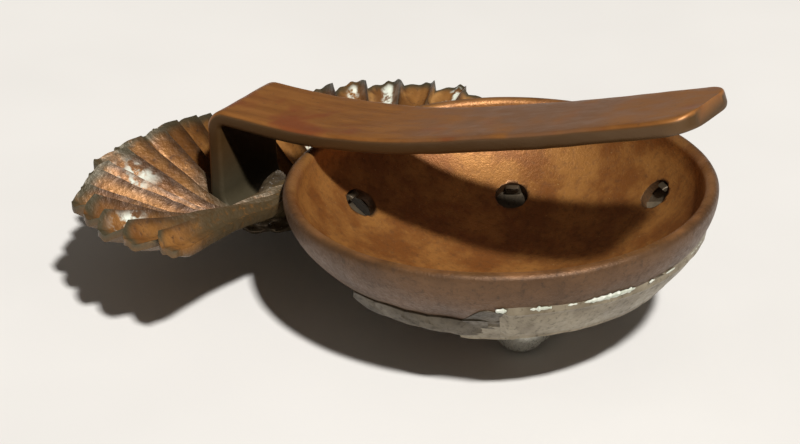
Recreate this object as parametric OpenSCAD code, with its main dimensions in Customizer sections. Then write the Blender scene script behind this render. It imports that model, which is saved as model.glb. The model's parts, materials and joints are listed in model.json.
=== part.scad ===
// Cap badge of the flaming-ball pattern: a bowl-shaped ball, a fluted spray of flames,
// a white-metal overlay on the face and a strap slider on the back.
// It lies on its face, back uppermost, on the plane z = 0. Units are millimetres.
// The ball's own frame has its origin at the centre of the rim, +Z out of the back
// and the flames towards -X. lie_down() takes that frame to the resting one.

/* [Ball] */
// Outside diameter of the ball's rim
rim_d = 28; // [26:0.5:30]
// Depth of the ball outside, from rim to pole
ball_depth = 8; // [7.5:0.25:8.5]
// Thickness of the ball's sheet
ball_wall = 0.8; // [0.6:0.1:1]
// How full the ball's curve is, where 2 is an ellipse
ball_fullness = 1.8; // [1.7:0.1:2.2]
// Diameter of the holes that take the overlay's tabs
hole_d = 2.2; // [1.8:0.1:2.4]

/* [Flames] */
// Number of flame tongues round the spray
tongues = 23; // [21:2:27]
// Reach of the middle tongue from the root of the spray
flame_len = 14; // [13:0.2:16]
// How much further the side lobes reach
lobe_extra = 5.1; // [4:0.1:5.5]
// Depth of the cut between two tongues
notch = 1.5; // [0.8:0.1:2]
// Depth of the hollow behind the flames, from the rim to its lowest point
hollow = 8.05; // [7.4:0.05:8.1]
// Height of the flutes
flute = 0.35; // [0.1:0.05:0.45]
// Thickness of the flames' sheet
flame_sheet = 0.7; // [0.5:0.1:0.9]

/* [Slider] */
// Width of the slider strap
slider_w = 6.4; // [5.5:0.1:7]
// Thickness of the slider strap
slider_t = 1.1; // [0.8:0.1:1.3]
// Where the slider's tip reaches, measured from the ball's centre
slider_reach = 15.1; // [14.5:0.1:17]
// Height of the strap's flat back stretch above the rim
slider_top = 1.55; // [1.4:0.05:2.5]

/* [Overlay] */
// Thickness of the overlay's sheet
overlay_t = 0.45; // [0.4:0.05:0.6]
// Half the angle that the leaf ring covers, from the ball's bottom
wreath_half = 178; // [150:1:179]
// Half the angle that the ribbon covers
scroll_half = 58; // [50:1:62]

/* [Rest] */
// Angle at which the badge leans when it lies on its face
rest_tilt = 4.87; // [4.5:0.01:5.2]

/* [Hidden] */
$fn = 48;

rim_r = rim_d / 2;
inner_r = rim_r - ball_wall;
inner_depth = ball_depth - ball_wall;
lip_r = ball_wall / 2;
arc_steps = 20;

// Each hole: distance from the ball's axis, angle from the ball's bottom, side of its tab
holes = [[11.7, 0], [11.7, 58], [9, 118], [11.1, 183], [9, -118], [11.7, -58]];
tab_w = 1.5;
tab_t = 0.55;
tab_clear = 0.08;
tab_rise = 0.75;

root_r = 14.1;
root_half = 31;
root_z = -1.4;
root_dip = 1.3;
spray_half = 92;
spray_x = -13;
pit_x = -18.2;
tip_z = -1.4;
far_droop = 2.3;
near_rise = 0.9;
side_curl = 38;
tongue_pitch = 2 * spray_half / (tongues - 1 + 0.4);
cols_per_tongue = 4;
spray_rows = 9;

boss_x = 2.4;
boss_r = 1.85;
boss_half = 1.6;
boss_low = -10.9;
overlay_gap = 0.1;
overlay_flat = 0.2;

foot_x = -18.6;
foot_z = -6.6;
leg_x = -20.9;
pool_r = 2.6;
pool_low = -7.95;
bead_mid = 18;
bead_span = 16;
bead_r = 0.7;
bead_ring = rim_r + 0.75;
bead_z = -1.2;
bend_r = 0.9;
slope_mid = 0.26;
slope_end = 0.33;
flat_end = -17;
curve_mid = -3;

seat_lift = -boss_low * cos(rest_tilt) - boss_x * sin(rest_tilt);
west_end = (spray_x - flame_len) * cos(rest_tilt) - tip_z * sin(rest_tilt);
east_end = slider_reach * cos(rest_tilt) - strap_top(slider_reach) * sin(rest_tilt);
middle_x = (west_end + east_end) / 2;

// Takes the ball's own frame to the resting one
module lie_down() {
    translate([-middle_x, 0, seat_lift]) rotate([0, -rest_tilt, 0]) children();
}

// ---- Ball ----

// Height of a bowl curve of the given rim radius and depth at radius r
function bowl_z(r, edge, depth) =
    -depth * pow(max(0, 1 - pow(r / edge, ball_fullness)), 1 / ball_fullness);

// Curve of the bowl from its pole out to its rim
function bowl_curve(edge, depth) = [for (i = [0:arc_steps])
    let (a = 90 * (1 - i / arc_steps))
    [edge * pow(cos(a), 2 / ball_fullness), -depth * pow(sin(a), 2 / ball_fullness)]];

// Outward normal of the ball's outer curve at radius r, as [radial, z]
function bowl_normal(r) =
    let (
        z = -bowl_z(r, rim_r, ball_depth),
        nr = pow(r / rim_r, ball_fullness - 1) / rim_r,
        nz = pow(z / ball_depth, ball_fullness - 1) / ball_depth,
        n = norm([nr, nz])
    ) [nr / n, -nz / n];

// Point that stands h proud of the ball's outer surface at radius r and angle a
function on_ball(r, a, h) =
    let (n = bowl_normal(r), d = r + h * n[0])
    [d * cos(a), d * sin(a), bowl_z(r, rim_r, ball_depth) + h * n[1]];

// Puts children on the ball's surface at a hole, with +Z out through the wall
module at_hole(hole) {
    n = bowl_normal(hole[0]);
    translate(on_ball(hole[0], hole[1], 0))
        rotate([0, 0, hole[1]]) rotate([0, atan2(n[0], n[1]), 0]) children();
}

// Solid of revolution under one bowl curve, closed at the given height
module bowl_solid(edge, depth, top) {
    rotate_extrude($fn = 96) polygon(concat(bowl_curve(edge, depth), [[edge, top], [0, top]]));
}

module ball_shell() {
    color("peru") lie_down() difference() {
        union() {
            difference() {
                translate([0, 0, -lip_r]) bowl_solid(rim_r, ball_depth - lip_r, 0);
                translate([0, 0, -lip_r]) bowl_solid(inner_r, inner_depth - lip_r, 1);
            }
            translate([0, 0, -lip_r]) rotate_extrude($fn = 96)
                translate([rim_r - lip_r, 0]) intersection() {
                    circle(r = lip_r, $fn = 32);
                    translate([-lip_r, -lip_r / 2]) square([ball_wall, ball_wall]);
                }
        }
        for (hole = holes) at_hole(hole) cylinder(h = 6, d = hole_d, center = true);
    }
}

// ---- Flames ----

// Direction of a tongue, with 0 along the badge's middle line
function tongue_dir(a) = [-cos(a), sin(a)];

// Shape of the cut between tongues: 0 on a tongue's middle line, 1 between two
function between(a) = abs(sin(180 * a / tongue_pitch));

// Outer edge of the spray in plan
function spray_edge(a) = [spray_x, 0]
    + tongue_dir(a) * (flame_len + lobe_extra * pow(sin(1.18 * a), 2)
        - notch * pow(between(a), 1.5));

// Inner edge of the spray in plan, round the ball's rim
function spray_root(a) = root_r * tongue_dir(a * root_half / spray_half);

// 0 below low, 1 above high, with a smooth rise between
function smooth(low, high, x) =
    let (t = min(max((x - low) / (high - low), 0), 1)) t * t * (3 - 2 * t);

// Height of the tips: the near lobe is bent up and the far lobe down
function edge_z(a) = tip_z + near_rise * (1 - smooth(-75, -25, a))
    - far_droop * smooth(-20, 40, a);

// Height of the dish at a point in plan: a shallow cone round the slider's foot,
// curled up along the two side edges
function dish_z(a, p) =
    let (
        pit = [pit_x, 0],
        reach = norm(spray_edge(a) - pit),
        cone = -hollow + (edge_z(a) + hollow) * pow(min(norm(p - pit) / reach, 1), 1.15),
        side = smooth(spray_half - side_curl, spray_half, abs(a))
    ) cone + (edge_z(a) - cone) * side;

// Height of the sheet's back, from the root (f = 0) to the tips (f = 1)
function spray_z(a, f) =
    let (
        p = spray_root(a) * (1 - f) + spray_edge(a) * f,
        root = root_z - root_dip * (1 - smooth(0, 60, abs(a))) - dish_z(a, spray_root(a)),
        wave = flute * sqrt(f) * (2 * between(a) - 1)
    ) dish_z(a, p) + root * (1 - smooth(0, 0.55, f)) + wave;

function spray_point(a, f, drop) =
    let (p = spray_root(a) * (1 - f) + spray_edge(a) * f) [p[0], p[1], spray_z(a, f) - drop];

// Closed sheet between two grids of points that share their rows and columns.
// The first grid is the side that faces +Z when columns run against the clock.
module sheet_between(upper, lower) {
    rows = len(upper);
    cols = len(upper[0]);
    size = rows * cols;
    points = concat([for (row = upper) each row], [for (row = lower) each row]);
    cells = [for (i = [0:rows - 2], j = [0:cols - 2])
        [i * cols + j, i * cols + j + 1, (i + 1) * cols + j + 1, (i + 1) * cols + j]];
    rim = concat(
        [for (j = [0:cols - 2]) j],
        [for (i = [0:rows - 2]) i * cols + cols - 1],
        [for (j = [cols - 1:-1:1]) (rows - 1) * cols + j],
        [for (i = [rows - 1:-1:1]) i * cols]);
    faces = concat(
        [for (c = cells) each [[c[0], c[1], c[2]], [c[0], c[2], c[3]]]],
        [for (c = cells) each [[c[0] + size, c[2] + size, c[1] + size],
            [c[0] + size, c[3] + size, c[2] + size]]],
        [for (k = [0:len(rim) - 1]) let (p = rim[k], q = rim[(k + 1) % len(rim)])
            each [[p, p + size, q + size], [p, q + size, q]]]);
    polyhedron(points = points, faces = faces);
}

module spray_sheet() {
    cols = (tongues - 1) * cols_per_tongue + 2;
    angles = [for (j = [0:cols]) -spray_half + 2 * spray_half * j / cols];
    back = [for (i = [0:spray_rows]) [for (a = angles) spray_point(a, i / spray_rows, 0)]];
    face = [for (i = [0:spray_rows])
        [for (a = angles) spray_point(a, i / spray_rows, flame_sheet)]];
    sheet_between(back, face);
}

module flame_spray() {
    color("chocolate") lie_down() spray_sheet();
}

// ---- Slider ----

// Height of the strap's back surface along the badge's middle line
function strap_top(x) =
    let (
        first = curve_mid - flat_end,
        second = slider_reach - curve_mid,
        u = min(max(x - flat_end, 0), first),
        v = max(x - curve_mid, 0)
    ) slider_top + slope_mid * u * u / (2 * first) + slope_mid * v
        + (slope_end - slope_mid) * v * v / (2 * second);

// Middle line of the strap in side view, from the soldered foot to the free tip
function strap_line() =
    let (flat_z = slider_top - slider_t / 2)
    concat(
        [for (a = [70:-14:0])
            [leg_x + (foot_x - leg_x) * (1 - cos(a)), foot_z + 2.2 * (1 - sin(a))]],
        [for (a = [0:15:90])
            [leg_x + bend_r * (1 - cos(a)), flat_z - bend_r * (1 - sin(a))]],
        [for (i = [0:22]) let (x = flat_end + (slider_reach - flat_end) * i / 22)
            [x, strap_top(x) - slider_t / 2]]);

// Unit normal of a line of points at point i, to the left of its run
function line_normal(line, i) =
    let (
        p = line[max(i - 1, 0)], q = line[min(i + 1, len(line) - 1)],
        d = (q - p) / norm(q - p)
    ) [-d[1], d[0]];

module slider_bar() {
    line = strap_line();
    last = len(line) - 1;
    left = [for (i = [0:last]) line[i] + line_normal(line, i) * slider_t / 2];
    right = [for (i = [last:-1:0]) line[i] - line_normal(line, i) * slider_t / 2];
    corner = 1.5;
    intersection() {
        translate([0, slider_w / 2, 0]) rotate([90, 0, 0])
            linear_extrude(slider_w) polygon(concat(left, right));
        translate([0, 0, -15]) linear_extrude(40) union() {
            translate([leg_x - 5, -slider_w / 2 - 1])
                square([slider_reach - corner - leg_x + 5, slider_w + 2]);
            for (side = [-1, 1]) translate([slider_reach - corner - 0.1, side * (slider_w / 2 - corner)])
                circle(r = corner);
            translate([0, corner - slider_w / 2])
                square([slider_reach + 2, slider_w - 2 * corner]);
        }
    }
}

module slider() {
    color("sienna") lie_down() slider_bar();
}

// ---- Overlay ----

// Height of the leaves: they lie along the ring and overlap, and the ribbon presses on none
function leaf_relief(a, f) =
    let (step = 13, along = (abs(a) / step + 4 * abs(f - 0.5)) % 1)
    0.24 * sin(180 * along) * sin(180 * f) * smooth(scroll_half, scroll_half + 6, abs(a));

// Outer radius of the leaf ring, which draws in beside the flames
function ring_edge(a) = 12.9 - 1.4 * smooth(60, 74, abs(a)) - 0.9 * smooth(80, 126, abs(a))
    + 1.7 * smooth(150, 172, abs(a));

// Curved band on the ball's face from radius r0 to edge_of[j] at each of its columns
module face_band(r0, edge_of, half, rows, gap, thick, relief) {
    cols = len(edge_of) - 1;
    function spot(i, j, h) =
        let (f = i / rows, a = half * (2 * j / cols - 1))
        on_ball(r0 + (edge_of[j] - r0) * f, a, gap + h * (thick + relief * leaf_relief(a, f)));
    sheet_between([for (i = [rows:-1:0]) [for (j = [0:cols]) spot(i, j, 0)]],
        [for (i = [rows:-1:0]) [for (j = [0:cols]) spot(i, j, 1)]]);
}

module overlay_wreath() {
    edges = [for (j = [0:104]) ring_edge(wreath_half * (j / 52 - 1))];
    color("darkkhaki") lie_down()
        face_band(7.2, edges, wreath_half, 7, overlay_gap, overlay_flat, 1);
}

// Plain ribbon with a folded end at each side
module overlay_scroll() {
    gap = overlay_gap + overlay_flat + 0.02;
    color("gray") lie_down()
        face_band(9.5, [for (j = [0:40]) 13.2], scroll_half, 4, gap, overlay_t, 0);
}

// Smooth domed bar across the middle of the face, the badge's front contact
module overlay_boss() {
    color("silver") lie_down() difference() {
        translate([boss_x, 0, boss_low + boss_r]) rotate([90, 0, 0]) union() {
            cylinder(h = 2 * boss_half, r = boss_r, center = true);
            for (side = [-1, 1]) translate([0, 0, side * boss_half]) sphere(r = boss_r);
        }
        bowl_solid(rim_r + overlay_gap, ball_depth + overlay_gap, 3);
    }
}

// Tab of the overlay's metal that stands in a hole and is bent over inside the ball
module overlay_tab(hole) {
    lean = hole_d / 2 - tab_t - tab_clear - 0.2;
    color("lightgray") lie_down() at_hole(hole) {
        translate([-lean - tab_t, -tab_w / 2, -tab_rise])
            cube([tab_t, tab_w, tab_rise + overlay_gap - 0.02]);
        translate([-lean - tab_t, -tab_w / 2, -tab_rise - 0.25])
            cube([tab_t + 0.4, tab_w, 0.27]);
    }
}

// ---- Solder ----

// Pool that holds the slider's foot, a lens of metal lying in the hollow of the flames
module solder_slider_foot() {
    function belly(r) = pool_low + 0.55 * r;
    function crown(r) = belly(pool_r) + (pool_r * pool_r - r * r) / 14;
    steps = [for (i = [0:8]) pool_r * i / 8];
    color("dimgray") lie_down() difference() {
        translate([pit_x, 0, 0]) rotate_extrude()
            polygon(concat([for (r = steps) [r, belly(r)]],
                [for (i = [7:-1:0]) [steps[i], crown(steps[i])]]));
        slider_bar();
    }
}

// Bead in the corner between the ball's wall and the root of the flames
module neck_bead(side) {
    color("dimgray") lie_down() rotate([0, 0, 180 + side * bead_mid - bead_span / 2])
        rotate_extrude(angle = bead_span) translate([bead_ring, bead_z]) circle(r = bead_r);
}

module solder_neck_near() {
    neck_bead(1);
}

module solder_neck_far() {
    neck_bead(-1);
}

ball_shell();
flame_spray();
slider();
overlay_wreath();
overlay_scroll();
overlay_boss();
overlay_tab(holes[0]);  // overlay_tab_1
overlay_tab(holes[1]);  // overlay_tab_2
overlay_tab(holes[2]);  // overlay_tab_3
overlay_tab(holes[3]);  // overlay_tab_4
overlay_tab(holes[4]);  // overlay_tab_5
overlay_tab(holes[5]);  // overlay_tab_6
solder_slider_foot();
solder_neck_near();
solder_neck_far();
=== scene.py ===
"""Cap badge lying on its face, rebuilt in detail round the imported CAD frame.

Every shape is worked out in the ball's own frame, in millimetres: origin at the centre of the
ball's rim, +Z out of the badge's back, flames towards -X. REST takes it to the shared frame.
"""
import json
import math
import random

import bmesh
import bpy
from mathutils import Euler, Matrix, Vector, noise


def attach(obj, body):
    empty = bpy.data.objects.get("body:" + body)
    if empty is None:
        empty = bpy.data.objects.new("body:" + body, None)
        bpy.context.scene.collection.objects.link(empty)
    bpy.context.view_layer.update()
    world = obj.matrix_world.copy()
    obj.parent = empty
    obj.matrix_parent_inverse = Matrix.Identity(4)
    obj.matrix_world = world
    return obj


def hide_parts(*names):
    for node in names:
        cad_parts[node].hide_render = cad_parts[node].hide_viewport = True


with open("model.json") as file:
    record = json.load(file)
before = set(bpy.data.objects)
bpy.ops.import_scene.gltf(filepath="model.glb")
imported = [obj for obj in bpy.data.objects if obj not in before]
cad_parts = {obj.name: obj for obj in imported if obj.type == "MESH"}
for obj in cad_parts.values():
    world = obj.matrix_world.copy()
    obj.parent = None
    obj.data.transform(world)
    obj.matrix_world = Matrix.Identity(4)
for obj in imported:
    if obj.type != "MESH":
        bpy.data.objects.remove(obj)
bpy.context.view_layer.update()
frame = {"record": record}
random.seed(7)

MM = 0.001

# Driving dimensions, the same as the CAD model's, in millimetres and degrees
RIM_R = 14.0
BALL_DEPTH = 8.0
BALL_WALL = 0.8
FULLNESS = 1.8
HOLE_R = 1.1
HOLES = [(11.7, 0), (11.7, 58), (9.0, 118), (11.1, 183), (9.0, -118), (11.7, -58)]
TONGUES = 23
FLAME_LEN = 14.0
LOBE_EXTRA = 5.1
NOTCH = 1.5
HOLLOW = 8.05
FLAME_SHEET = 0.7
SPRAY_HALF = 92.0
SPRAY_X = -13.0
ROOT_R = 14.1
ROOT_HALF = 31.0
ROOT_Z = -1.4
ROOT_DIP = 1.3
PIT_X = -18.2
TIP_Z = -1.4
FAR_DROOP = 2.3
NEAR_RISE = 0.9
SIDE_CURL = 38.0
SLIDER_W = 6.4
SLIDER_T = 1.1
SLIDER_REACH = 15.1
SLIDER_TOP = 1.55
FLAT_END = -17.0
CURVE_MID = -3.0
SLOPE_MID = 0.26
SLOPE_END = 0.33
LEG_X = -20.9
FOOT_X = -18.6
FOOT_Z = -6.6
BEND_R = 0.9
BOSS = Vector((2.4, 0.0, -9.05))
BOSS_R = 1.85
BOSS_HALF = 1.6
WREATH_HALF = 178
SCROLL_HALF = 58
FLAT_SPOT = Vector((-18.2, 0.0, SLIDER_TOP))

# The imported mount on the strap's flat back gives the resting tilt and place
back = next(m for m in frame["record"]["mounts"] if m["name"] == "slider_back")
LEAN = Matrix.Rotation(math.atan2(back["axis"][0], back["axis"][2]), 4, "Y")
REST = (Matrix.Translation(Vector(back["pos_m"]) - LEAN @ FLAT_SPOT * MM)
        @ LEAN @ Matrix.Scale(MM, 4))


# ---- Mesh helpers ----

def polar(r, angle):
    return Vector((r * math.cos(math.radians(angle)), r * math.sin(math.radians(angle)), 0))


def smooth_step(low, high, value):
    t = min(max((value - low) / (high - low), 0), 1)
    return t * t * (3 - 2 * t)


def wobble(point, scale, seed=0.0):
    """Smooth noise from -1 to 1 at a point in millimetres."""
    return noise.noise(Vector(point) / scale + Vector((seed, seed * 1.7, seed * 0.6)))


def make_piece(name, verts, faces, material, nodes=(), masks=None, sharp=40, *, slot):
    """A mesh object from points in the ball's frame, riding on the badge's one body.

    masks are values for each point, and edges bent by more than sharp degrees stay crisp.
    """
    mesh = bpy.data.meshes.new(name)
    mesh.from_pydata([REST @ Vector(v) for v in verts], [], faces)
    mesh.validate()
    for mask, values in (masks or {}).items():
        layer = mesh.attributes.new(mask, "FLOAT", "POINT")
        layer.data.foreach_set("value", values)
    bm = bmesh.new()
    bm.from_mesh(mesh)
    bmesh.ops.recalc_face_normals(bm, faces=bm.faces)
    limit = math.radians(sharp)
    for face in bm.faces:
        face.smooth = True
    for edge in bm.edges:
        edge.smooth = not (len(edge.link_faces) == 2 and edge.calc_face_angle(0) > limit)
    bm.to_mesh(mesh)
    bm.free()
    piece = bpy.data.objects.new(name, mesh)
    bpy.context.scene.collection.objects.link(piece)
    mesh.materials.append(material)
    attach(piece, "root")
    if nodes:
        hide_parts(*nodes)
    return piece


def sheet_faces(rows, cols, start=0):
    """Faces of a closed sheet between two grids, the second stored right after the first."""
    size = rows * cols
    faces = []
    for i in range(rows - 1):
        for j in range(cols - 1):
            a, b = start + i * cols + j, start + i * cols + j + 1
            c, d = b + cols, a + cols
            faces.append((a, b, c, d))
            faces.append((a + size, d + size, c + size, b + size))
    rim = list(range(cols - 1))
    rim += [i * cols + cols - 1 for i in range(rows - 1)]
    rim += [(rows - 1) * cols + j for j in range(cols - 1, 0, -1)]
    rim += [i * cols for i in range(rows - 1, 0, -1)]
    for k, p in enumerate(rim):
        q = rim[(k + 1) % len(rim)]
        faces.append((start + p, start + p + size, start + q + size, start + q))
    return faces


def ring_faces(rings, around, start=0):
    """Faces between rings of the same number of points."""
    faces = []
    for i in range(rings - 1):
        a = start + i * around
        b = a + around
        for j in range(around):
            k = (j + 1) % around
            faces.append((a + j, a + k, b + k, b + j))
    return faces


def end_faces(rings, around, start=0):
    """The two faces that close a stack of rings."""
    last = start + (rings - 1) * around
    return [tuple(range(start, start + around)), tuple(range(last, last + around))]


# ---- Curves shared with the CAD model ----

def bowl_z(r):
    return -BALL_DEPTH * max(0.0, 1 - (r / RIM_R) ** FULLNESS) ** (1 / FULLNESS)


def bowl_normal(r):
    """Outward direction of the ball's surface, as (away from its axis, along it)."""
    z = max(-bowl_z(r), 1e-6)
    nr = (r / RIM_R) ** (FULLNESS - 1) / RIM_R
    nz = (z / BALL_DEPTH) ** (FULLNESS - 1) / BALL_DEPTH
    n = math.hypot(nr, nz)
    return nr / n, -nz / n


def on_ball(r, angle, height):
    """Point that stands height proud of the ball's outer surface."""
    nr, nz = bowl_normal(r)
    point = polar(r + height * nr, angle)
    point.z = bowl_z(r) + height * nz
    return point


def strap_top(x):
    """Height of the strap's back: flat, then curving up to its tip."""
    first = CURVE_MID - FLAT_END
    second = SLIDER_REACH - CURVE_MID
    u = min(max(x - FLAT_END, 0), first)
    v = max(x - CURVE_MID, 0)
    return (SLIDER_TOP + SLOPE_MID * u * u / (2 * first) + SLOPE_MID * v
            + (SLOPE_END - SLOPE_MID) * v * v / (2 * second))


# ---- Materials ----

class Surface:
    """A material's node tree, built one step at a time."""

    def __init__(self, name, metallic, roughness):
        self.material = bpy.data.materials.new(name)
        self.material.use_nodes = True
        self.tree = self.material.node_tree
        self.shader = self.tree.nodes["Principled BSDF"]
        self.shader.inputs["Metallic"].default_value = metallic
        self.shader.inputs["Roughness"].default_value = roughness
        self.where = self.tree.nodes.new("ShaderNodeTexCoord").outputs["Object"]

    def add(self, kind, **values):
        node = self.tree.nodes.new(kind)
        for key, value in values.items():
            setattr(node, key, value)
        return node

    def link(self, source, target):
        self.tree.links.new(source, target)

    def noise(self, size_mm, detail=4.0, stretch=(1, 1, 1), roughness=0.55):
        """Noise with features of about size_mm."""
        mapping = self.add("ShaderNodeMapping")
        mapping.inputs["Scale"].default_value = [s / (size_mm * MM) for s in stretch]
        self.link(self.where, mapping.inputs["Vector"])
        node = self.add("ShaderNodeTexNoise")
        node.inputs["Scale"].default_value = 1.0
        node.inputs["Detail"].default_value = detail
        node.inputs["Roughness"].default_value = roughness
        self.link(mapping.outputs["Vector"], node.inputs["Vector"])
        return node.outputs["Fac"]

    def mask(self, name):
        """A vertex attribute of the mesh."""
        return self.add("ShaderNodeAttribute", attribute_name=name).outputs["Fac"]

    def ramp(self, value, low, high):
        """value taken from low..high to 0..1."""
        node = self.add("ShaderNodeMapRange")
        node.interpolation_type = "SMOOTHSTEP"
        self.link(value, node.inputs["Value"])
        node.inputs["From Min"].default_value = low
        node.inputs["From Max"].default_value = high
        return node.outputs["Result"]

    def scale(self, value, low, high):
        """value from 0..1 taken to low..high."""
        node = self.add("ShaderNodeMapRange")
        self.link(value, node.inputs["Value"])
        node.inputs["To Min"].default_value = low
        node.inputs["To Max"].default_value = high
        return node.outputs["Result"]

    def math(self, operation, a, b):
        node = self.add("ShaderNodeMath", operation=operation)
        for socket, value in zip(node.inputs, (a, b)):
            if isinstance(value, (int, float)):
                socket.default_value = value
            else:
                self.link(value, socket)
        return node.outputs["Value"]

    def mix(self, factor, first, second):
        """Colour between two colours or colour sockets."""
        node = self.add("ShaderNodeMix", data_type="RGBA")
        self.link(factor, node.inputs["Factor"])
        for socket, value in ((node.inputs["A"], first), (node.inputs["B"], second)):
            colour = [s for s in node.inputs if s.name == socket.name and s.type == "RGBA"][0]
            if isinstance(value, tuple):
                colour.default_value = (*value, 1)
            else:
                self.link(value, colour)
        return [s for s in node.outputs if s.type == "RGBA"][0]

    def bump(self, height, distance_mm, strength, under=None):
        """Normals for a height, laid over those of an earlier bump."""
        node = self.add("ShaderNodeBump")
        node.inputs["Strength"].default_value = strength
        node.inputs["Distance"].default_value = distance_mm * MM
        self.link(height, node.inputs["Height"])
        if under is not None:
            self.link(under, node.inputs["Normal"])
        return node.outputs["Normal"]

    def finish(self, colour, roughness=None, metallic=None, normal=None):
        """The material, with whichever of its inputs are given."""
        self.link(colour, self.shader.inputs["Base Color"])
        for name, value in (("Roughness", roughness), ("Metallic", metallic),
                            ("Normal", normal)):
            if value is not None:
                self.link(value, self.shader.inputs[name])
        return self.material


def ball_material():
    """Gilding metal: pitted orange-brown inside, dull mauve-brown outside, and a lighter lip that
    is partly rubbed wear and partly a painted highlight.
    """
    s = Surface("aged_gilding_metal_ball", 0.45, 0.5)
    broad, fine = s.noise(3.6, 5, roughness=0.65), s.noise(0.4, 6, roughness=0.75)
    specks = s.noise(0.16, 2, roughness=0.8)
    inside = s.mix(s.ramp(broad, 0.38, 0.62), (0.24, 0.088, 0.020), (0.40, 0.18, 0.045))
    grain = s.math("MULTIPLY", s.ramp(fine, 0.45, 0.75), 0.6)
    inside = s.mix(grain, inside, (0.11, 0.05, 0.018))
    inside = s.mix(s.ramp(specks, 0.68, 0.78), inside, (0.62, 0.40, 0.17))
    outside = s.mix(s.ramp(broad, 0.3, 0.7), (0.085, 0.043, 0.019), (0.14, 0.072, 0.032))
    outside = s.mix(s.ramp(fine, 0.5, 0.75), outside, (0.055, 0.032, 0.018))
    colour = s.mix(s.mask("inside"), outside, inside)
    # The lip's lighter colour is partly rubbed wear and partly a painted highlight along the rim.
    lip = s.math("MULTIPLY", s.mask("lip"), s.ramp(s.noise(2.0, 4), 0.35, 0.75))
    colour = s.mix(lip, colour, (0.36, 0.165, 0.062))
    rough = s.scale(s.ramp(fine, 0.3, 0.7), 0.34, 0.56)
    rough = s.math("SUBTRACT", rough, s.math("MULTIPLY", lip, 0.12))
    pits = s.bump(fine, 0.06, 0.7)
    return s.finish(colour, rough, normal=s.bump(specks, 0.04, 0.6, pits))


def flame_material():
    """Gilding metal: dark tips, tinned neck, and painted light: highlight and shade on each
    tongue's two sides, shade on the face, white glints in flutes.
    """
    s = Surface("aged_gilding_metal_flames", 0.45, 0.46)
    broad, fine = s.noise(2.4, 5), s.noise(0.45, 5, roughness=0.7)
    colour = s.mix(s.ramp(broad, 0.38, 0.62), (0.20, 0.082, 0.020), (0.34, 0.155, 0.040))
    colour = s.mix(s.ramp(fine, 0.52, 0.72), colour, (0.10, 0.045, 0.016))
    # Painted shade: the other side of each tongue is coloured near black, as shade in the
    # creases.
    colour = s.mix(s.math("MULTIPLY", s.mask("fold_shade"), 0.85), colour, (0.045, 0.022, 0.010))
    # Painted highlight: one side of each tongue is coloured bright orange.
    rib_highlight = s.math("MULTIPLY", s.mask("rib_highlight"), s.ramp(s.noise(1.2, 3), 0.4, 0.62))
    colour = s.mix(rib_highlight, colour, (0.52, 0.27, 0.085))
    tip = s.math("MULTIPLY", s.mask("tip"), s.ramp(s.noise(1.6, 3), 0.2, 0.5))
    colour = s.mix(tip, colour, (0.075, 0.062, 0.034))
    # Painted shade: the sheet's face, which lies towards the floor, is coloured darker.
    colour = s.mix(s.mask("front"), colour, (0.12, 0.068, 0.028))
    tinned = s.math("MULTIPLY", s.mask("tinned"), s.ramp(fine, 0.2, 0.5))
    colour = s.mix(tinned, colour, (0.085, 0.058, 0.026))
    # Painted reflection: pale green-white patches in some flutes stand in for glints of the lamp.
    polish = s.math("MULTIPLY", s.mask("flute_glint"), s.ramp(s.noise(0.8, 5), 0.42, 0.56))
    colour = s.mix(polish, colour, (0.78, 0.84, 0.74))
    rough = s.scale(s.ramp(fine, 0.3, 0.7), 0.34, 0.58)
    rough = s.math("ADD", rough, s.math("MULTIPLY", polish, 0.3))
    metal = s.math("MULTIPLY", s.math("SUBTRACT", 1.0, polish), 0.3)
    dents = s.bump(s.noise(0.9, 3), 0.10, 0.6)
    return s.finish(colour, rough, metal, s.bump(fine, 0.06, 0.7, dents))


def slider_material():
    """Rubbed copper-brown strip: lengthwise streaks, redder patches, and painted shade on its
    side faces and underside.
    """
    s = Surface("rubbed_copper_strip", 0.4, 0.45)
    streaks = s.noise(0.7, 4, stretch=(0.12, 1, 1))
    blush, fine = s.noise(4.5, 3), s.noise(0.3, 4, roughness=0.7)
    colour = s.mix(s.ramp(streaks, 0.3, 0.7), (0.30, 0.115, 0.027), (0.38, 0.158, 0.040))
    colour = s.mix(s.ramp(blush, 0.5, 0.68), colour, (0.29, 0.085, 0.027))
    colour = s.mix(s.math("MULTIPLY", s.mask("grey"), s.ramp(s.noise(3.0, 3), 0.3, 0.6)),
                   colour, (0.27, 0.13, 0.06))
    colour = s.mix(s.ramp(fine, 0.58, 0.75), colour, (0.18, 0.085, 0.035))
    # Painted shade: the strap's side faces and underside are coloured near black.
    colour = s.mix(s.mask("edge"), colour, (0.10, 0.052, 0.018))
    colour = s.mix(s.mask("foot"), colour, (0.085, 0.07, 0.04))
    rough = s.scale(s.ramp(streaks, 0.3, 0.7), 0.34, 0.5)
    lines = s.bump(streaks, 0.03, 0.5)
    return s.finish(colour, rough, normal=s.bump(fine, 0.02, 0.5, lines))


def overlay_material(name, colour_a, colour_b, rough_low, rough_high, grime):
    """Tarnished nickel silver with dark grime in fine random specks."""
    s = Surface(name, 0.5, rough_low)
    broad, fine = s.noise(2.2, 4), s.noise(0.35, 5, roughness=0.7)
    colour = s.mix(s.ramp(broad, 0.3, 0.7), colour_a, colour_b)
    colour = s.mix(s.ramp(fine, 0.52, 0.72), colour, grime)
    rough = s.scale(s.ramp(fine, 0.3, 0.7), rough_low, rough_high)
    return s.finish(colour, rough, normal=s.bump(fine, 0.04, 0.5))


def residue_material():
    """Dried metal polish: chalky, pale green-white and crumbly."""
    s = Surface("dried_polish", 0.0, 0.85)
    colour = s.mix(s.ramp(s.noise(0.4, 4), 0.35, 0.65), (0.50, 0.54, 0.44), (0.80, 0.82, 0.74))
    return s.finish(colour, normal=s.bump(s.noise(0.15, 4), 0.05, 0.8))


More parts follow.
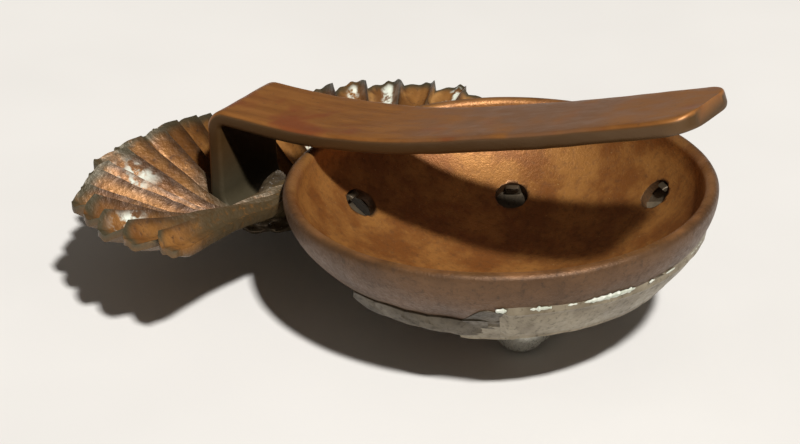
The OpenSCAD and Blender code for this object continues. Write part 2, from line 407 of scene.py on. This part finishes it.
def solder_material():
    """Soft solder: dark grey with a few bright lumps."""
    s = Surface("soft_solder", 0.5, 0.42)
    broad, fine = s.noise(1.3, 4), s.noise(0.3, 4)
    colour = s.mix(s.ramp(broad, 0.35, 0.65), (0.085, 0.06, 0.034), (0.16, 0.12, 0.075))
    colour = s.mix(s.ramp(fine, 0.62, 0.72), colour, (0.62, 0.62, 0.60))
    rough = s.scale(s.ramp(fine, 0.3, 0.7), 0.25, 0.5)
    return s.finish(colour, rough, normal=s.bump(broad, 0.12, 0.7))


BALL = ball_material()
FLAMES = flame_material()
STRIP = slider_material()
NICKEL = overlay_material("tarnished_nickel_silver", (0.17, 0.135, 0.088), (0.30, 0.255, 0.18),
                          0.34, 0.55, (0.085, 0.068, 0.042))
# Painted shade: the leaves and the tabs in the holes lie in shade and are coloured near black.
DARK = overlay_material("nickel_silver_painted_shade", (0.050, 0.038, 0.023), (0.13, 0.104, 0.07),
                        0.36, 0.6, (0.03, 0.022, 0.014))
# The boss's light colour is partly rubbed wear and partly painted light standing in for bounce
# from the floor.
BRIGHT = overlay_material("rubbed_nickel_silver_painted_bounce", (0.40, 0.385, 0.33), (0.56, 0.54, 0.47),
                          0.22, 0.36, (0.30, 0.28, 0.22))
POLISH = residue_material()
SOLDER = solder_material()


# ---- Ball ----

# How much larger the rolled lip's radius is than half the wall
LIP_SWELL = 0.06
# Radius of the ring of points at the middle of the bowl
POLE_R = 0.02


def bowl_profile(lip_r):
    """The bowl's section, as (radius, height, share of inside, nearness to the lip)."""
    steps, lip_steps = 44, 10
    profile = []
    for i in range(steps + 1):
        t = math.radians(90 * (1 - i / steps))
        r = RIM_R * math.cos(t) ** (2 / FULLNESS)
        z = -lip_r - (BALL_DEPTH - lip_r) * math.sin(t) ** (2 / FULLNESS)
        profile.append((max(r, POLE_R), z, 0.0, 0.0))
    for i in range(1, lip_steps):
        t = math.pi * i / lip_steps
        r = RIM_R - lip_r + lip_r * math.cos(t)
        profile.append((r, -lip_r + lip_r * math.sin(t), smooth_step(0.2, 0.8, t / math.pi),
                        smooth_step(0.15, 0.5, t / math.pi)))
    edge, depth = RIM_R - 2 * lip_r, BALL_DEPTH - BALL_WALL
    below_lip = edge - 0.4
    for i in range(steps + 1):
        t = math.radians(90 * i / steps)
        r = edge * math.cos(t) ** (2 / FULLNESS)
        z = -lip_r - (depth - lip_r) * math.sin(t) ** (2 / FULLNESS)
        if r < below_lip:
            r += 2 * LIP_SWELL * (1 - r / edge)
        profile.append((max(r, POLE_R), z, 1.0, smooth_step(-1.2, -0.5, z)))
    return profile


def make_ball():
    """Bowl turned from its section, with a rolled lip, dents and six bored holes."""
    around = 288
    profile = bowl_profile(BALL_WALL / 2 + LIP_SWELL)
    verts, inside, lip = [], [], []
    for r, z, within, near_lip in profile:
        for j in range(around):
            p = polar(r, 360 * j / around)
            p.z = z
            dent = 0.06 * wobble(p, 7, 3) + 0.02 * wobble(p, 2, 5)
            p *= 1 + dent / RIM_R
            p.z += 0.05 * wobble(p, 6, 9)
            verts.append(p)
            inside.append(within)
            lip.append(near_lip)
    faces = ring_faces(len(profile), around) + end_faces(len(profile), around)
    ball = make_piece("ball_bowl", verts, faces, BALL, ["ball_shell"],
                      {"inside": inside, "lip": lip}, slot="ball")
    cutters = [hole_cutter(r, angle) for r, angle in HOLES]
    for cutter in cutters:
        cut = ball.modifiers.new("hole", "BOOLEAN")
        cut.operation = "DIFFERENCE"
        cut.solver = "EXACT"
        cut.object = cutter
    depsgraph = bpy.context.evaluated_depsgraph_get()
    bored = bpy.data.meshes.new_from_object(ball.evaluated_get(depsgraph))
    ball.modifiers.clear()
    ball.data = bored
    for cutter in cutters:
        bpy.data.objects.remove(cutter)


def hole_frame(r, angle):
    """Matrix that puts +Z out through the ball's wall at a hole, +X away from the ball's axis."""
    nr, nz = bowl_normal(r)
    turn = Matrix.Rotation(math.radians(angle), 4, "Z")
    return (Matrix.Translation(on_ball(r, angle, 0)) @ turn
            @ Matrix.Rotation(math.atan2(nr, nz), 4, "Y"))


def hole_cutter(r, angle):
    """Slightly uneven cylinder through the ball's wall."""
    place = hole_frame(r, angle)
    around, reach = 40, 2.5
    verts = []
    for z in (-reach, reach):
        for j in range(around):
            rough = HOLE_R * (1 + 0.03 * wobble((j * 0.7, z, angle), 2))
            verts.append(REST @ place @ (polar(rough, 360 * j / around) + Vector((0, 0, z))))
    faces = ring_faces(2, around) + end_faces(2, around)
    mesh = bpy.data.meshes.new("cutter")
    mesh.from_pydata(verts, [], faces)
    bm = bmesh.new()
    bm.from_mesh(mesh)
    bmesh.ops.recalc_face_normals(bm, faces=bm.faces)
    bm.to_mesh(mesh)
    bm.free()
    cutter = bpy.data.objects.new("cutter", mesh)
    bpy.context.scene.collection.objects.link(cutter)
    return cutter


# ---- Flames ----

# Share of a tongue that the sheet's two side edges cut off, together
CUT_OFF = 0.6
PITCH = 2 * SPRAY_HALF / (TONGUES - CUT_OFF)
# Each tongue's extra length in millimetres and how deep its flute is. The third draw isn't
# read: it keeps the draws after it the same.
TONGUE_TRAITS = [(random.uniform(-0.5, 0.45), random.uniform(0.75, 1.3), random.random())
                 for _ in range(TONGUES + 4)]
# Tongues whose flutes carry painted white reflections
GLINTING_TONGUES = (-9, -5, -4, 1, 5, 7, 8, 10)
# The angle at which a lobe is longest is 90 degrees over this
LOBE_PACE = 1.18
# Heights of the flutes, of the step from tongue to tongue, of the creases and of the curled tips
FLUTE, STEP, CREASE, TIP_CURL = 0.5, 0.34, 0.11, 0.45


def tongue_at(angle):
    """(index of the tongue, place across it from -1 to 1)."""
    index = round(angle / PITCH)
    return index, 2 * (angle / PITCH - index)


def dish_z(angle, p, edge):
    """Shallow cone round the slider's foot, curled up along the two side edges."""
    rim_z = (TIP_Z + NEAR_RISE * (1 - smooth_step(-75, -25, angle))
             - FAR_DROOP * smooth_step(-20, 40, angle))
    pit = Vector((PIT_X, 0))
    near = min((p.xy - pit).length / (edge.xy - pit).length, 1)
    cone = -HOLLOW + (rim_z + HOLLOW) * near ** 1.15
    return cone + (rim_z - cone) * smooth_step(SPRAY_HALF - SIDE_CURL, SPRAY_HALF, abs(angle))


def spray_spot(angle, f, drop):
    """Point on the spray and its masks, from the root (f = 0) to the tips (f = 1).

    drop is how far the point lies under the sheet's back.
    """
    index, across = tongue_at(angle)
    longer, deeper = TONGUE_TRAITS[index + len(TONGUE_TRAITS) // 2][:2]
    lobe = math.sin(math.radians(LOBE_PACE * angle)) ** 2
    cut = abs(across) ** 2.2
    reach = FLAME_LEN + LOBE_EXTRA * lobe + longer * (1 - cut) - NOTCH * cut
    root = polar(ROOT_R, 180 - angle * ROOT_HALF / SPRAY_HALF)
    edge = Vector((SPRAY_X, 0, 0)) + polar(reach, 180 - angle)
    p = root.lerp(edge, f)
    lift = (ROOT_Z - ROOT_DIP * (1 - smooth_step(0, 60, abs(angle)))
            - dish_z(angle, root, edge))
    groove = 2 * abs(across) ** 1.5 - 1
    wave = FLUTE * deeper * math.sqrt(f) * groove + STEP * f * across
    wave += CREASE * f * math.cos(math.pi * 3 * across) * (1 - abs(across))
    curl = TIP_CURL * smooth_step(0.84, 1.0, f) * (1 - abs(across))
    p.z = dish_z(angle, p, edge) + lift * (1 - smooth_step(0, 0.55, f)) + wave + curl
    p.z += 0.16 * wobble(p, 3.0, 11) + 0.06 * wobble(p, 0.9, 2)
    thinned = 1 - 0.35 * smooth_step(0.8, 1.0, f)
    p.z -= drop * thinned
    return p, spray_masks(p, index, across, angle, f, drop)


def spray_masks(p, index, across, angle, f, drop):
    """Masks at a point: dark tips, tinning, and painted light: highlight and shade on a tongue's
    two sides, shade on the face, white glints in some flutes.
    """
    outermost = 0.86 + 0.1 * smooth_step(30, 60, angle)
    innermost = 0.5 + 0.24 * smooth_step(0, 20, -angle)
    lobe_mask = smooth_step(innermost, innermost + 0.1, f) * (1 - smooth_step(outermost, 0.97, f))
    middle = 0.5 if angle < 0 else 0.0
    from_pit = (p.xy - Vector((PIT_X, 0))).length
    side_root = smooth_step(62, 84, abs(angle)) * (1 - smooth_step(0.6, 0.9, f))
    neck = (1 - smooth_step(0.2, 0.45, f)) * smooth_step(20, 40, abs(angle))
    tinned = max(1 - smooth_step(3.2, 6.5, from_pit + 1.2 * wobble(p, 2.5, 4)), side_root, neck)
    return {
        "rib_highlight": smooth_step(0.5, 0.9, -across) * f,
        "fold_shade": smooth_step(0.62, 0.95, across) * smooth_step(0.1, 0.4, f),
        "tip": smooth_step(0.93, 0.99, f + 0.02 * wobble(p, 1.5, 3)),
        "front": 1.0 if drop else 0.0,
        "tinned": tinned,
        "flute_glint": lobe_mask * (1 - smooth_step(0.2, 0.4, abs(middle - across)))
        * (index in GLINTING_TONGUES),
    }


def make_flames():
    """Fluted sheet with its tongues, the back first and then the face."""
    cols, rows = TONGUES * 18 + 1, 56
    verts = []
    masks = {name: [] for name in ("rib_highlight", "fold_shade", "tip", "front", "tinned", "flute_glint")}
    for drop in (0, FLAME_SHEET):
        for i in range(rows):
            for j in range(cols):
                angle = -SPRAY_HALF + 2 * SPRAY_HALF * j / (cols - 1)
                point, values = spray_spot(angle, i / (rows - 1), drop)
                verts.append(point)
                for name, value in values.items():
                    masks[name].append(float(value))
    make_piece("flame_sheet", verts, sheet_faces(rows, cols), FLAMES, ["flame_spray"],
               masks, sharp=60, slot="flames")


# ---- Slider ----

# How far the foot turns, in degrees, and how high it has then risen
FOOT_TURN, FOOT_RISE = 70, 2.2
# Radius of the two rounded corners at the tip
TIP_R = 1.5


def strap_path():
    """Middle line of the strap from foot to tip as points (x, z), and how many make its hook.

    The hook is the foot, the leg and the bend.
    """
    flat_z = SLIDER_TOP - SLIDER_T / 2
    steps, foot_steps, stride = 12, 15, 0.4
    path = []
    for i in range(foot_steps + 1):
        t = math.radians(FOOT_TURN * (1 - i / foot_steps))
        path.append((LEG_X + (FOOT_X - LEG_X) * (1 - math.cos(t)),
                     FOOT_Z + FOOT_RISE * (1 - math.sin(t))))
    leg_low, leg_high = path[-1][1], flat_z - BEND_R
    for i in range(1, steps):
        path.append((LEG_X, leg_low + (leg_high - leg_low) * i / steps))
    for i in range(steps + 1):
        t = math.radians(90 * i / steps)
        path.append((LEG_X + BEND_R * (1 - math.cos(t)), flat_z - BEND_R * (1 - math.sin(t))))
    hooked = len(path)
    x = LEG_X + BEND_R
    while x < SLIDER_REACH - TIP_R - 0.05:
        x += stride
        path.append((x, strap_top(x) - SLIDER_T / 2))
    for i in range(1, steps + 1):
        t = math.radians(90 * i / steps)
        tip_x = SLIDER_REACH - TIP_R + TIP_R * math.sin(t)
        path.append((tip_x, strap_top(tip_x) - SLIDER_T / 2))
    return path, hooked


def strap_section(half_width, half_thick):
    """Rounded outline of the strap's cross-section, as (across, up)."""
    corner = min(0.32, half_thick * 0.62)
    corner_steps, flat_steps = 5, 10
    outline = []
    for cx, cy, start in ((1, 1, 0), (-1, 1, 90), (-1, -1, 180), (1, -1, 270)):
        for k in range(corner_steps + 1):
            t = math.radians(start + 90 * k / corner_steps)
            outline.append((cx * (half_width - corner) + corner * math.cos(t),
                            cy * (half_thick - corner) + corner * math.sin(t)))
        if start in (0, 180):
            for k in range(1, flat_steps):
                outline.append((cx * (half_width - corner) * (1 - 2 * k / flat_steps),
                                cy * half_thick))
    return outline


def make_slider():
    """Bent strap, slightly uneven, with rounded edges and a rounded tip."""
    path, hooked = strap_path()
    verts, grey, edge, foot = [], [], [], []
    rings = len(path)
    for i, (x, z) in enumerate(path):
        before, after = path[max(i - 1, 0)], path[min(i + 1, rings - 1)]
        along = Vector((after[0] - before[0], 0, after[1] - before[1])).normalized()
        up = Vector((-along.z, 0, along.x))
        half = SLIDER_W / 2
        past = x - (SLIDER_REACH - TIP_R)
        if past > 0 and z > 0:
            half -= TIP_R - math.sqrt(max(TIP_R ** 2 - past ** 2, 0.0))
        half += 0.05 * math.sin(i * 0.13)
        for across, rise in strap_section(half, SLIDER_T / 2):
            p = Vector((x, 0, z)) + up * rise + Vector((0, across, 0))
            p += up * (0.05 * wobble(p, 5, 1) + 0.03 * wobble(p, 1.6, 8))
            p.y += 0.05 * wobble(p, 6, 4)
            verts.append(p)
            # The edge mask paints shade on the side faces and on the underside.
            across_share = min(abs(across) / half, 1)
            side = smooth_step(0.985, 0.998, across_share) if rise < 0.45 else 0.0
            underside = 1.0 if rise < -0.3 else 0.0
            edge.append(max(side, underside))
            middle = smooth_step(-8, -2, x) * (1 - smooth_step(6, 12, x))
            grey.append(middle if i >= hooked else 0.0)
            foot.append(1 - smooth_step(-4.5, -0.5, p.z) if i < hooked else 0.0)
    around = len(verts) // rings
    faces = ring_faces(rings, around) + end_faces(rings, around)
    make_piece("slider_strap", verts, faces, STRIP, ["slider"],
               {"grey": grey, "edge": edge, "foot": foot}, sharp=50, slot="slider")


# ---- Overlay ----

# The leaf ring's inner and outer radius, and the scallops in both
RING_IN, RING_OUT = 6.9, 12.9
SCALLOPS, SCALLOP_DEPTH = 27, 0.15
# Radius and lean in degrees of each row of leaves, and the radius from which rows are outer ones
LEAF_ROWS = ((8.5, -24), (9.4, -12), (10.9, 20), (10.1, 4))
OUTER_ROWS = 9
# Leaves run from the first angle towards the last by the step, in degrees. Up to the fourth
# angle the ribbon covers the outer rows, so their leaves are nearly flat.
FIRST_LEAF, LAST_LEAF, LEAF_STEP, RIBBON_COVERS = 6.0, 108, 9.5, 66
LEAF_LENGTH, LEAF_WIDTH = 3.2, 1.9
LEAF_RISE, COVERED_RISE = 0.42, 0.05
# The ribbon leans by this much across its width, and its two tails start and end at these angles
RIBBON_LEAN = -0.7
TAIL_START, TAIL_END = 52, 74


def leaf(centre_r, centre_a, length, width, heading, base, rise, verts, faces):
    """Lens-shaped domed leaf with a midrib, lying on the ball's face."""
    rows, cols = 13, 9
    rib_height, sunk = 0.12, 0.12
    start = len(verts)
    turn = math.radians(heading)
    lower = []
    for i in range(rows):
        u = i / (rows - 1)
        span = width * math.sin(math.pi * min(u * 0.92 + 0.04, 1)) ** 0.8
        for j in range(cols):
            v = 2 * j / (cols - 1) - 1
            lx, ly = (u - 0.5) * length, v * span / 2
            dx = lx * math.cos(turn) - ly * math.sin(turn)
            dy = lx * math.sin(turn) + ly * math.cos(turn)
            r = min(centre_r + dy, RIM_R - 0.2)
            a = centre_a + math.degrees(dx / centre_r)
            dome = (1 - v * v) * (0.4 + 0.6 * math.sin(math.pi * u))
            rib = rib_height * math.exp(-(v * 5) ** 2)
            verts.append(on_ball(r, a, base + rise * dome + rib))
            lower.append(on_ball(r, a, base - sunk))
    verts.extend(lower)
    faces.extend(sheet_faces(rows, cols, start))


def band(r_of, a0, a1, low, high, rows, cols, verts, faces, twist=0.0):
    """Curved strip on the ball's face between two heights, with a raised border.

    r_of(f, angle) gives the radius across it, and twist leans it from one edge to the other.
    """
    start = len(verts)
    for height in (low, high):
        for i in range(rows):
            f = i / (rows - 1)
            for j in range(cols):
                a = a0 + (a1 - a0) * j / (cols - 1)
                border = 0.08 * max(smooth_step(0.84, 0.9, f), 1 - smooth_step(0.1, 0.16, f))
                proud = height + twist * (f - 0.5)
                if height == high:
                    edge = min(f, 1 - f, j / cols * 4, (cols - 1 - j) / cols * 4)
                    proud += border - 0.6 * (high - low) * (1 - smooth_step(0, 0.1, edge))
                proud += 0.05 * wobble((a / 5, f * 2, height), 1)
                verts.append(on_ball(r_of(f, a), a, proud))
    faces.extend(sheet_faces(rows, cols, start))


def ring_radius(f, angle):
    """Radius across the leaf ring, scalloped and drawn in between the ribbon and the flames."""
    side = abs(angle)
    outer = (RING_OUT - 1.4 * smooth_step(60, 74, side) - 0.9 * smooth_step(80, 126, side)
             + 1.7 * smooth_step(150, 172, side))
    scallop = SCALLOP_DEPTH * math.sin(math.radians(angle * SCALLOPS)) * (2 * f - 1)
    return RING_IN + (outer - RING_IN) * f + scallop


def make_wreath():
    """Thin ring all the way round, with leaves from the ball's bottom to just past its middle."""
    verts, faces = [], []
    ring_low, ring_high, leaf_base = 0.1, 0.28, 0.3
    band(ring_radius, -WREATH_HALF, WREATH_HALF, ring_low, ring_high, 6, 360, verts, faces)
    for side in (-1, 1):
        angle = FIRST_LEAF
        while angle < LAST_LEAF:
            for row, lean in LEAF_ROWS:
                covered = angle < RIBBON_COVERS and row >= OUTER_ROWS
                size = random.uniform(0.92, 1.12)
                leaf(row, side * angle, LEAF_LENGTH * size, LEAF_WIDTH * size,
                     side * lean + (180 if side < 0 else 0), leaf_base,
                     COVERED_RISE if covered else LEAF_RISE, verts, faces)
            angle += LEAF_STEP
    make_piece("overlay_leaf_spray", verts, faces, DARK, ["overlay_wreath"],
               sharp=35, slot="overlay")


def ribbon_radius(f, angle):
    """Radius across the ribbon, which waves a little."""
    return 10.2 + 2.9 * f + 0.08 * math.sin(math.radians(angle * 6))


def tail_radius(f, angle):
    """Radius across a tail, which narrows towards its end."""
    return 8.8 + (3.2 - 0.08 * (abs(angle) - TAIL_START)) * f


def make_scroll():
    """Ribbon with a tail at each end that comes out nearer the middle of the ball."""
    verts, faces = [], []
    band(ribbon_radius, -SCROLL_HALF, SCROLL_HALF, 0.25, 0.68, 30, 160, verts, faces,
         twist=RIBBON_LEAN)
    for side in (-1, 1):
        band(tail_radius, side * TAIL_START, side * TAIL_END, 0.3, 0.62, 22, 40, verts, faces,
             twist=RIBBON_LEAN)
    make_piece("overlay_ribbon", verts, faces, NICKEL, ["overlay_scroll"],
               sharp=35, slot="overlay")


def make_boss():
    """Smooth rubbed bar with round ends, coloured light partly as painted bounce light from the
    floor.
    """
    rings, around = 40, 48
    verts = []
    for i in range(rings + 1):
        t = math.pi * i / rings
        y = -math.cos(t) * BOSS_R + (BOSS_HALF if i > rings / 2 else -BOSS_HALF)
        if i == rings // 2:
            y = 0
        r = max(BOSS_R * math.sin(t), POLE_R / 2)
        for j in range(around):
            a = 2 * math.pi * j / around
            p = BOSS + Vector((r * math.cos(a), y, r * math.sin(a)))
            p += (p - BOSS).normalized() * 0.05 * wobble(p, 2.5, 6)
            verts.append(p)
    faces = ring_faces(rings + 1, around) + end_faces(rings + 1, around)
    make_piece("overlay_domed_bar", verts, faces, BRIGHT, ["overlay_boss"], slot="overlay")


# How far a tab stands from the middle of its hole, how deep it goes and how thick it is
TAB_X, TAB_DEPTH, TAB_T = -0.85, 0.42, 0.34
# The share of a tab that is straight, and how far its end is bent over, in degrees
TAB_STRAIGHT, TAB_TURN = 0.6, 100


def tab_stations(steps):
    """Middle line of a tab as (x, z, how far it has bent)."""
    stations = []
    for i in range(steps + 1):
        t = i / steps
        if t < TAB_STRAIGHT:
            stations.append((TAB_X, -(TAB_DEPTH * t / TAB_STRAIGHT), 0.0))
        else:
            bend = (t - TAB_STRAIGHT) / (1 - TAB_STRAIGHT) * math.radians(TAB_TURN)
            stations.append((TAB_X + 0.25 * (1 - math.cos(bend)),
                             -TAB_DEPTH - 0.12 * math.sin(bend), bend))
    return stations


def make_tabs():
    """Rough strips of the overlay's metal that stand in the holes with their ends bent over."""
    steps = 13
    stations = tab_stations(steps)
    for number, (r, angle) in enumerate(HOLES, 1):
        place = hole_frame(r, angle)
        verts = []
        for i, (x, z, bend) in enumerate(stations):
            half = 0.55 - 0.14 * (i / steps)
            out = Vector((math.cos(bend), 0, math.sin(bend)))
            for across, rise in strap_section(half, TAB_T / 2):
                p = Vector((x, across, z)) + out * rise
                p += Vector((0.05, 0.07, 0.05)) * wobble(p + Vector((number * 3, 0, 0)), 0.5, 2)
                verts.append(place @ p)
        around = len(verts) // len(stations)
        faces = ring_faces(len(stations), around) + end_faces(len(stations), around)
        make_piece("overlay_bent_tab_%d" % number, verts, faces, DARK,
                   ["overlay_tab_%d" % number], slot="overlay")


# The seam's radius and height on the ball
SEAM_R, SEAM_HEIGHT = 13.0, 0.28
# Where each run of polish starts and ends, in degrees, and how thick it is
POLISH_RUNS = ((-59, -56, 0.2), (-50, -44, 0.2), (-40, -37, 0.1), (-35, -19, 0.24),
               (-14, -12, 0.1), (-7, -3, 0.1), (6, 18, 0.06), (38, 52, 0.16))


def make_residue():
    """Dried polish caught in the seam between the ball and the ribbon."""
    steps, around, thinnest = 24, 10, 0.01
    verts, faces = [], []
    for a0, a1, size in POLISH_RUNS:
        start = len(verts)
        for i in range(steps + 1):
            f = i / steps
            a = a0 + (a1 - a0) * f
            lumpy = 1 + 1.1 * wobble((a * 0.7, 0, 0), 0.6)
            girth = size * 0.5 * math.sin(math.pi * f) ** 0.4 * lumpy + thinnest
            for j in range(around):
                t = 2 * math.pi * j / around
                verts.append(on_ball(SEAM_R + girth * 1.3 * math.cos(t), a,
                                     SEAM_HEIGHT + girth * 0.8 * math.sin(t)))
        faces.extend(ring_faces(steps + 1, around, start) + end_faces(steps + 1, around, start))
    make_piece("dried_polish_in_seam", verts, faces, POLISH, sharp=60, slot="overlay")


# ---- Solder ----

def lump(name, centre, size, turn, node, seed, roughness):
    """Lumpy ellipsoid of solder."""
    rings, around = 40, 56
    spin = Euler([math.radians(t) for t in turn]).to_matrix()
    verts = []
    for i in range(rings + 1):
        t = math.pi * (0.002 + 0.996 * i / rings)
        for j in range(around):
            a = 2 * math.pi * j / around
            p = Vector((math.sin(t) * math.cos(a), math.sin(t) * math.sin(a), math.cos(t)))
            swell = 1 + roughness * wobble(p, 0.55, seed) + 0.07 * wobble(p, 0.18, seed + 2)
            p = spin @ Vector((p.x * size[0], p.y * size[1], p.z * size[2])) * swell
            verts.append(Vector(centre) + p)
    faces = ring_faces(rings + 1, around) + end_faces(rings + 1, around)
    make_piece(name, verts, faces, SOLDER, [node], slot="solder")


def make_solder():
    """Pool round the slider's foot and a bead on each side of the neck."""
    lump("solder_pool", (-18.6, 0, -6.8), (2.4, 2.7, 0.9), (0, 0, 10),
         "solder_slider_foot", 1, 0.22)
    lump("solder_bead_near", (-14.9, -4.8, -2.3), (0.7, 2.6, 0.75), (0, 0, 22),
         "solder_neck_near", 4, 0.06)
    lump("solder_bead_far", (-14.7, 5.0, -2.5), (0.8, 2.1, 0.8), (0, 0, -24),
         "solder_neck_far", 7, 0.09)


make_ball()
make_flames()
make_slider()
make_wreath()
make_scroll()
make_boss()
make_tabs()
make_residue()
make_solder()


# ---- Floor, light and camera ----

def make_floor():
    """Pale paper that the badge lies on."""
    mesh = bpy.data.meshes.new("floor")
    half = 1.5
    mesh.from_pydata([(-half, -half, 0), (half, -half, 0), (half, half, 0), (-half, half, 0)],
                     [], [(0, 1, 2, 3)])
    floor = bpy.data.objects.new("floor", mesh)
    bpy.context.scene.collection.objects.link(floor)
    s = Surface("pale_paper", 0.0, 0.9)
    colour = s.mix(s.ramp(s.noise(30, 3), 0.3, 0.7), (0.80, 0.80, 0.79), (0.84, 0.84, 0.83))
    mesh.materials.append(s.finish(colour, normal=s.bump(s.noise(0.5, 3), 0.02, 0.15)))


# The camera's turn about the badge, its rise over the rim's plane and its roll, in degrees
CAMERA_TURN, CAMERA_RISE, CAMERA_ROLL = 35.2, 25.36, 2.0
CAMERA_DISTANCE = 180.0
# How far left of and below the rim's centre the camera aims, in millimetres
AIM_LEFT, AIM_DOWN = 6.44, 2.71
LENS_MM = 126.1
# How far the key light's rays go to the camera's right and away from it while they fall by 1
KEY_RIGHT, KEY_AWAY = -0.31, 0.82
# The key light's distance and width in metres, and its power in watts
KEY_DISTANCE, KEY_SIZE, KEY_POWER = 2.0, 0.12, 50.0
KEY_COLOUR = (1.0, 0.965, 0.92)
ROOM_COLOUR, ROOM_STRENGTH = (1.0, 0.88, 0.76, 1), 0.105

turn, rise, roll = (math.radians(v) for v in (CAMERA_TURN, CAMERA_RISE, CAMERA_ROLL))
right = Vector((math.cos(turn), math.sin(turn), 0))
away = Vector((-math.sin(turn), math.cos(turn), 0))
forward = away * math.cos(rise) - Vector((0, 0, 1)) * math.sin(rise)
upward = away * math.sin(rise) + Vector((0, 0, 1)) * math.cos(rise)
cam_right = right * math.cos(roll) - upward * math.sin(roll)
cam_up = upward * math.cos(roll) + right * math.sin(roll)


def make_camera():
    data = bpy.data.cameras.new("camera")
    camera = bpy.data.objects.new("camera", data)
    data.sensor_width = 36.0
    data.lens = LENS_MM
    data.clip_start, data.clip_end = 0.005, 10.0
    spot = -cam_right * AIM_LEFT - cam_up * AIM_DOWN - forward * CAMERA_DISTANCE
    axes = Matrix((cam_right, cam_up, -forward)).transposed()
    camera.matrix_world = (Matrix.Translation(REST @ spot)
                           @ (LEAN.to_3x3() @ axes).to_4x4())
    bpy.context.scene.collection.objects.link(camera)
    bpy.context.scene.camera = camera


def make_lights():
    """Small square key light that shines on the middle of the ball, in a dim warm room."""
    data = bpy.data.lights.new("key", "AREA")
    data.size, data.energy, data.color = KEY_SIZE, KEY_POWER, KEY_COLOUR
    light = bpy.data.objects.new("key", data)
    rays = KEY_RIGHT * right + KEY_AWAY * away - Vector((0, 0, 1))
    towards = (LEAN.to_3x3() @ rays).normalized()
    light.location = REST @ Vector((0, 0, -6)) - towards * KEY_DISTANCE
    light.rotation_euler = towards.to_track_quat("-Z", "Y").to_euler()
    bpy.context.scene.collection.objects.link(light)
    world = bpy.data.worlds.new("soft_room")
    world.use_nodes = True
    background = world.node_tree.nodes["Background"]
    background.inputs["Color"].default_value = ROOM_COLOUR
    background.inputs["Strength"].default_value = ROOM_STRENGTH
    bpy.context.scene.world = world
    bpy.context.scene.view_settings.view_transform = "Standard"


make_floor()
make_camera()
make_lights()
